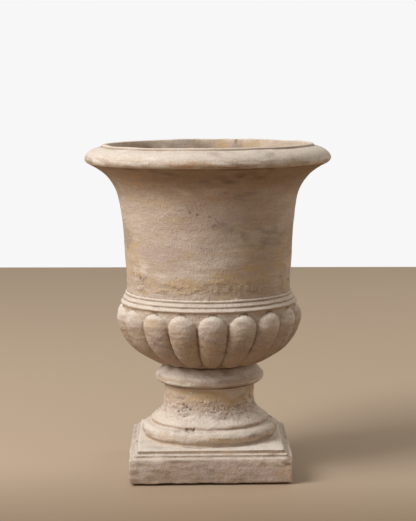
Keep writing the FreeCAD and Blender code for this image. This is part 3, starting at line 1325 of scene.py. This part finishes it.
BOWL_STAINS_AND_PAINTED_SHADING = (
    # Painted highlight: a lime band lightens the upper lobes.
    Band(StainOrShading.LIME, 228.0, 251.0, 120.0, 0.4, 14.0),
    *spots(StainOrShading.RUST, (-101, 466, 44, 4.5, 1.6), (-80, 464, 30, 3, 1.2), (-133, 438, 31, 18, 0.6),
           (-103, 372, 15, 9, 0.5), (-84, 420, 44, 7, 0.6)),
    # The first soil patch here is a painted shadow line under the rim's roll.
    *spots(StainOrShading.SOIL, (-82, 462.5, 56, 1.6, 1.0), (-74, 448, 60, 9, 0.5), (-115, 455, 32, 4, 0.5),
           (-93, 387, 30, 1.5, 1.2, -0.55), (-72, 424, 50, 8, 0.4)),
    *spots(StainOrShading.GREY, (-63, 479, 26, 6, 0.5), (-46, 471, 16, 8, 0.6), (-51, 366, 34, 16, 0.55),
           (-55, 346, 28, 6, 0.6), (-39, 352, 19, 15, 0.6), (-65, 418, 11, 5, 1.2), (-79, 456, 15, 8, 0.5),
           (-112, 452, 36, 7, 1.1), (-84, 444, 40, 8, 0.9), (-123, 202, 7, 6, 0.7), (-73, 207, 14, 14, 0.6),
           (-78, 374, 34, 5, 0.7, -0.45)),
    *spots(StainOrShading.LIME, (-135, 480, 49, 9, 0.5)),
    *spots(StainOrShading.LILAC, (-88, 482, 87, 4, 0.5), (-69, 403, 37, 24, 0.9), (-88, 383, 49, 10, 0.7),
           (-127, 337, 44, 15, 0.9), (-92, 349, 38, 12, 0.8), (-124, 212, 14, 14, 0.8),
           (-95, 226, 15, 9, 0.7), (-118, 197, 13, 9, 0.5)),
    *spots(StainOrShading.OCHRE, (-166, 467, 25, 8, 0.6), (-125, 367, 32, 8, 0.35), (-55, 314, 43, 9, 0.8),
           (-71, 296, 68, 12, 1.0), (-102, 288, 42, 8, 1.0), (-136, 280, 29, 12, 0.7),
           (-150, 329, 12, 27, 0.9), (-94, 196, 15, 12, 0.7), (-129, 226, 15, 12, 0.5),
           (-100, 334, 46, 4, 0.6)),
    *spots(StainOrShading.BONE, (-144, 314, 14, 12, 0.8), (-118, 352, 40, 14, 0.5), (-125, 300, 34, 12, 0.45),
           (-96, 300, 60, 14, 0.55), (-92, 322, 44, 6, 0.8), (-108, 396, 34, 6, 0.5),
           (-90, 424, 50, 9, 0.5), (-80, 336, 26, 4, 0.6)),
    *spots(StainOrShading.CRUST, (-146, 292, 12, 16, 1.0), (-70, 288, 60, 12, 0.8), (-120, 283, 60, 7, 0.7),
           (-90, 262, 240, 9, 0.2), (-90, 205, 240, 30, 0.5)),
)
INSIDE_STAINS_AND_PAINTED_SHADING = (
    # Painted light and shade on the rim's roll: a lime band lightens its lower nose, a soil band darkens
    # the crease under it.
    Band(StainOrShading.LIME, 461.2, 470.0, 172.0, 0.75, 2.0),
    Band(StainOrShading.SOIL, 458.4, 460.6, 172.0, 0.9, 0.8),
    *spots(StainOrShading.SOIL, (77, 486, 4, 2.5, 1.6), (128, 474, 26, 8, 0.7), (99, 480, 18, 5, 0.6)),
    *spots(StainOrShading.LIME, (52, 477, 34, 9, 0.7), (114, 478, 9, 12, 1.0)),
    *spots(StainOrShading.GREY, (132, 470, 34, 18, 1.6), (100, 476, 22, 12, 1.6), (72, 481, 10, 5, 1.4),
           (0, 440, 60, 30, 0.6), (180, 430, 60, 40, 0.6)),
    *spots(StainOrShading.OCHRE, (84, 472, 14, 14, 1.2), (62, 474, 24, 12, 1.4)),
    *spots(StainOrShading.RUST, (44, 468, 24, 12, 0.9)),
)
COLLAR_STAINS_AND_PAINTED_SHADING = (
    # Painted light: a lime band lightens the lower roll.
    Band(StainOrShading.LIME, 135.5, 141.0, 76.0, 0.5, 4.0),
    *spots(StainOrShading.LILAC, (-73, 141, 33, 6, 0.8)),
    *spots(StainOrShading.LIME, (-124, 140, 32, 4, 0.6)),
    # Painted shadow of the bowl: a soil tone darkens the shoulder.
    *spots(StainOrShading.SOIL, (-92, 157, 49, 6, 0.6)),
    *spots(StainOrShading.CRUST, (-90, 142, 120, 12, 0.45)),
)
FOOT_STAINS = (
    Band(StainOrShading.LIME, 56.0, 72.0, 92.0, 0.5, 4.0),
    *spots(StainOrShading.OCHRE, (-104, 122, 54, 10, 1.0), (-69, 108, 31, 12, 0.8), (-73, 61, 39, 4, 0.9),
           (-124, 64, 24, 4, 0.6)),
    *spots(StainOrShading.SOIL, (-42, 116, 15, 14, 0.4), (-110, 74, 10, 2.5, 1.0), (-49, 63, 23, 6, 0.5)),
    *spots(StainOrShading.LILAC, (-78, 94, 18, 9, 0.6), (-139, 98, 18, 9, 0.6), (-44, 96, 17, 9, 0.5)),
    *spots(StainOrShading.LIME, (-92, 81, 44, 8, 0.3)),
    *spots(StainOrShading.GREY, (-127, 73, 11, 3, 0.8)),
    *spots(StainOrShading.CRUST, (-122, 101, 22, 16, 1.2), (-85, 96, 40, 12, 1.1), (-52, 98, 24, 14, 1.1),
           (-110, 72, 30, 4, 0.8), (-90, 60, 150, 10, 0.5)),
)
PLINTH_STAINS_AND_PAINTED_LIGHT = (
    # Painted light: a bone band lightens the upper part of the faces.
    Band(StainOrShading.BONE, 27.0, 39.8, 100.0, 0.9, 10.0),
    Band(StainOrShading.LILAC, 2.0, 33.0, 100.0, 0.5, 6.0),
    # Painted light: a lime band lightens the top where the torus shades it.
    Band(StainOrShading.LIME, 48.6, 52.0, 60.0, 1.1, 1.0),
    *spots(StainOrShading.LILAC, (-88, 30, 60, 14, 0.6), (-75, 26, 30, 8, 0.8), (-105, 32, 34, 6, 0.8)),
    *spots(StainOrShading.GREY, (-92, 22, 9, 14, 0.8), (-104, 10, 20, 6, 0.5)),
    *spots(StainOrShading.OCHRE, (-76, 18, 22, 8, 0.35), (-112, 30, 18, 8, 0.5), (-84, 46, 30, 8, 0.3)),
    *spots(StainOrShading.RUST, (-50, 22, 14, 18, 0.4)),
    *spots(StainOrShading.LIME, (-128, 30, 22, 20, 0.7)),
    *spots(StainOrShading.SOIL, (-50, 5.5, 60, 2, 0.5), (-47, 38, 12, 6, 0.8)),
    *spots(StainOrShading.CRUST, (-90, 41, 240, 7, 0.15), (-90, 20, 240, 20, 0.12)),
)
# Azimuth, level, half width, half height, how many, how wide and how deep.
BOWL_PITS = (
    Pitting(-146, 292, 12, 15, 46, 2.2, 0.7),
    Pitting(-146, 290, 16, 16, 46, 2.4, -0.6),
    Pitting(-76, 286, 70, 8, 170, 2.0, 0.4),
    Pitting(-76, 286, 70, 9, 170, 2.2, -0.4),
    Pitting(52, 288, 160, 9, 240, 2.2, 0.4),
)
FOOT_PITS = (
    Pitting(-110, 74, 8, 2.5, 16, 1.4, 1.0),
    Pitting(-90, 101, 600, 13, 330, 1.3, 0.9),
    Pitting(-124, 104, 22, 8, 22, 2.2, 1.3),
    Pitting(-50, 101, 24, 10, 20, 1.9, 1.1),
    Pitting(-90, 99, 600, 14, 520, 1.9, -0.7),
    Pitting(-90, 66, 900, 14, 200, 1.2, 0.45),
)


def castings() -> list[Casting]:
    """The four castings, top to bottom, with their stains and pits.

    Returns:
        The castings.
    """
    neck_mark = Patch(StainOrShading.SOIL, -21, 118, 2.5, 7, 1.4)
    return [
        Bowl(
            "bowl_casting", "bowl", columns=360, wear=0.42, seed=11, finish=Limewash("bowl_limewash"),
            patches=(*around(BOWL_STAINS_AND_PAINTED_SHADING), *INSIDE_STAINS_AND_PAINTED_SHADING), pittings=BOWL_PITS, valley=0.9, ripple=0.05,
        ),
        Collar(
            "collar_casting", "collar_ring", columns=300, wear=0.6, seed=23,
            finish=Limewash("collar_limewash", seed=5.0), patches=around(COLLAR_STAINS_AND_PAINTED_SHADING),
        ),
        Foot(
            "foot_casting", "foot", columns=400, wear=0.42, seed=37,
            finish=Limewash("foot_limewash", underside_shade_share=0.3, mauve=0.3, dirt_and_shade_share=0.6, seed=9.0),
            patches=(*around(FOOT_STAINS), neck_mark), pittings=FOOT_PITS,
        ),
        Plinth(
            "plinth_casting", "plinth", columns=480, wear=0.65, seed=51,
            finish=Limewash("plinth_limewash", clay=tint(158, 135, 114), wash=tint(178, 158, 139),
                            underside_shade_share=0.3, streaking=4.0, mauve=0.4, dirt_and_shade_share=0.6, seed=13.0),
            patches=around(PLINTH_STAINS_AND_PAINTED_LIGHT),
        ),
    ]


def fittings() -> dict[str, Material]:
    """The finish of each CAD node that is shown as it is.

    Returns:
        Each node's material.
    """
    mortar = Mortar().build()
    brass = Metal("tarnished_brass", tint(190, 158, 92), tint(104, 84, 52), 0.32).build()
    steel = Metal("dull_zinc", tint(168, 168, 166), tint(118, 116, 112), 0.4).build()
    rubber = Rubber().build()
    return {
        "mortar_bed_bowl": mortar,
        "mortar_bed_collar": mortar,
        "mortar_bed_plinth": mortar,
        "drain_tube": brass,
        "drain_flange_nut": brass,
        "clamp_washer": steel,
        "clamp_nut": steel,
        "drain_gasket": rubber,
        "foot_pads": rubber,
    }


def main() -> None:
    """Build the stage, the castings and the finishes of the fittings, and report each."""
    logging.basicConfig(level=logging.INFO, format="%(message)s")
    Camera().place()
    Studio().build()
    for casting in castings():
        piece = casting.build()
        LOG.info("%s: %d faces", piece.name, len(piece.data.polygons))
    for node, material in fittings().items():
        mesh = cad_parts[node].data
        mesh.materials.clear()
        mesh.materials.append(material)
        LOG.info("%s: %s", node, material.name)


if __name__ == "__main__":
    main()
